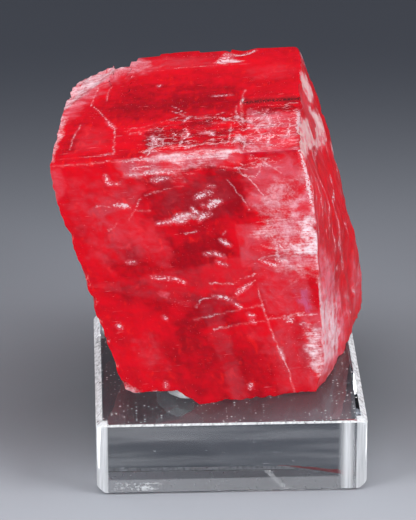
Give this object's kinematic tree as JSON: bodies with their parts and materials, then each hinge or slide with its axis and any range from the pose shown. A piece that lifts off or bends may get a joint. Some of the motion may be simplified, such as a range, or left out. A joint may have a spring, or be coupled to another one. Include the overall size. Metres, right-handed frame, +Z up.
{
  "type": "rhodochrosite specimen",
  "caption": "Red translucent rhodochrosite cleavage rhomb with a rough broken side, held by mineral tack on a square clear acrylic display block.",
  "frame": {"origin": "middle of the display block's underside", "axes": "+Z up, -Y towards the front of the block, +X to the right as seen from the front"},
  "size_m": [0.0619, 0.0733, 0.062],
  "materials": {
    "clear_acrylic": "clear polished acrylic with dust, hairline scratches and frosted worn edges, index of refraction 1.49",
    "rhodochrosite": "translucent rose red crystal, glossy on its cleavage faces, with milky veils and pale pink bruised breaks",
    "white_tack": "soft white putty, satin, pressed by hand"
  },
  "bodies": {
    "root": {"display_block": "clear_acrylic", "rhodochrosite_crystal": "rhodochrosite", "mounting_tack": "white_tack"}
  },
  "joints": []
}
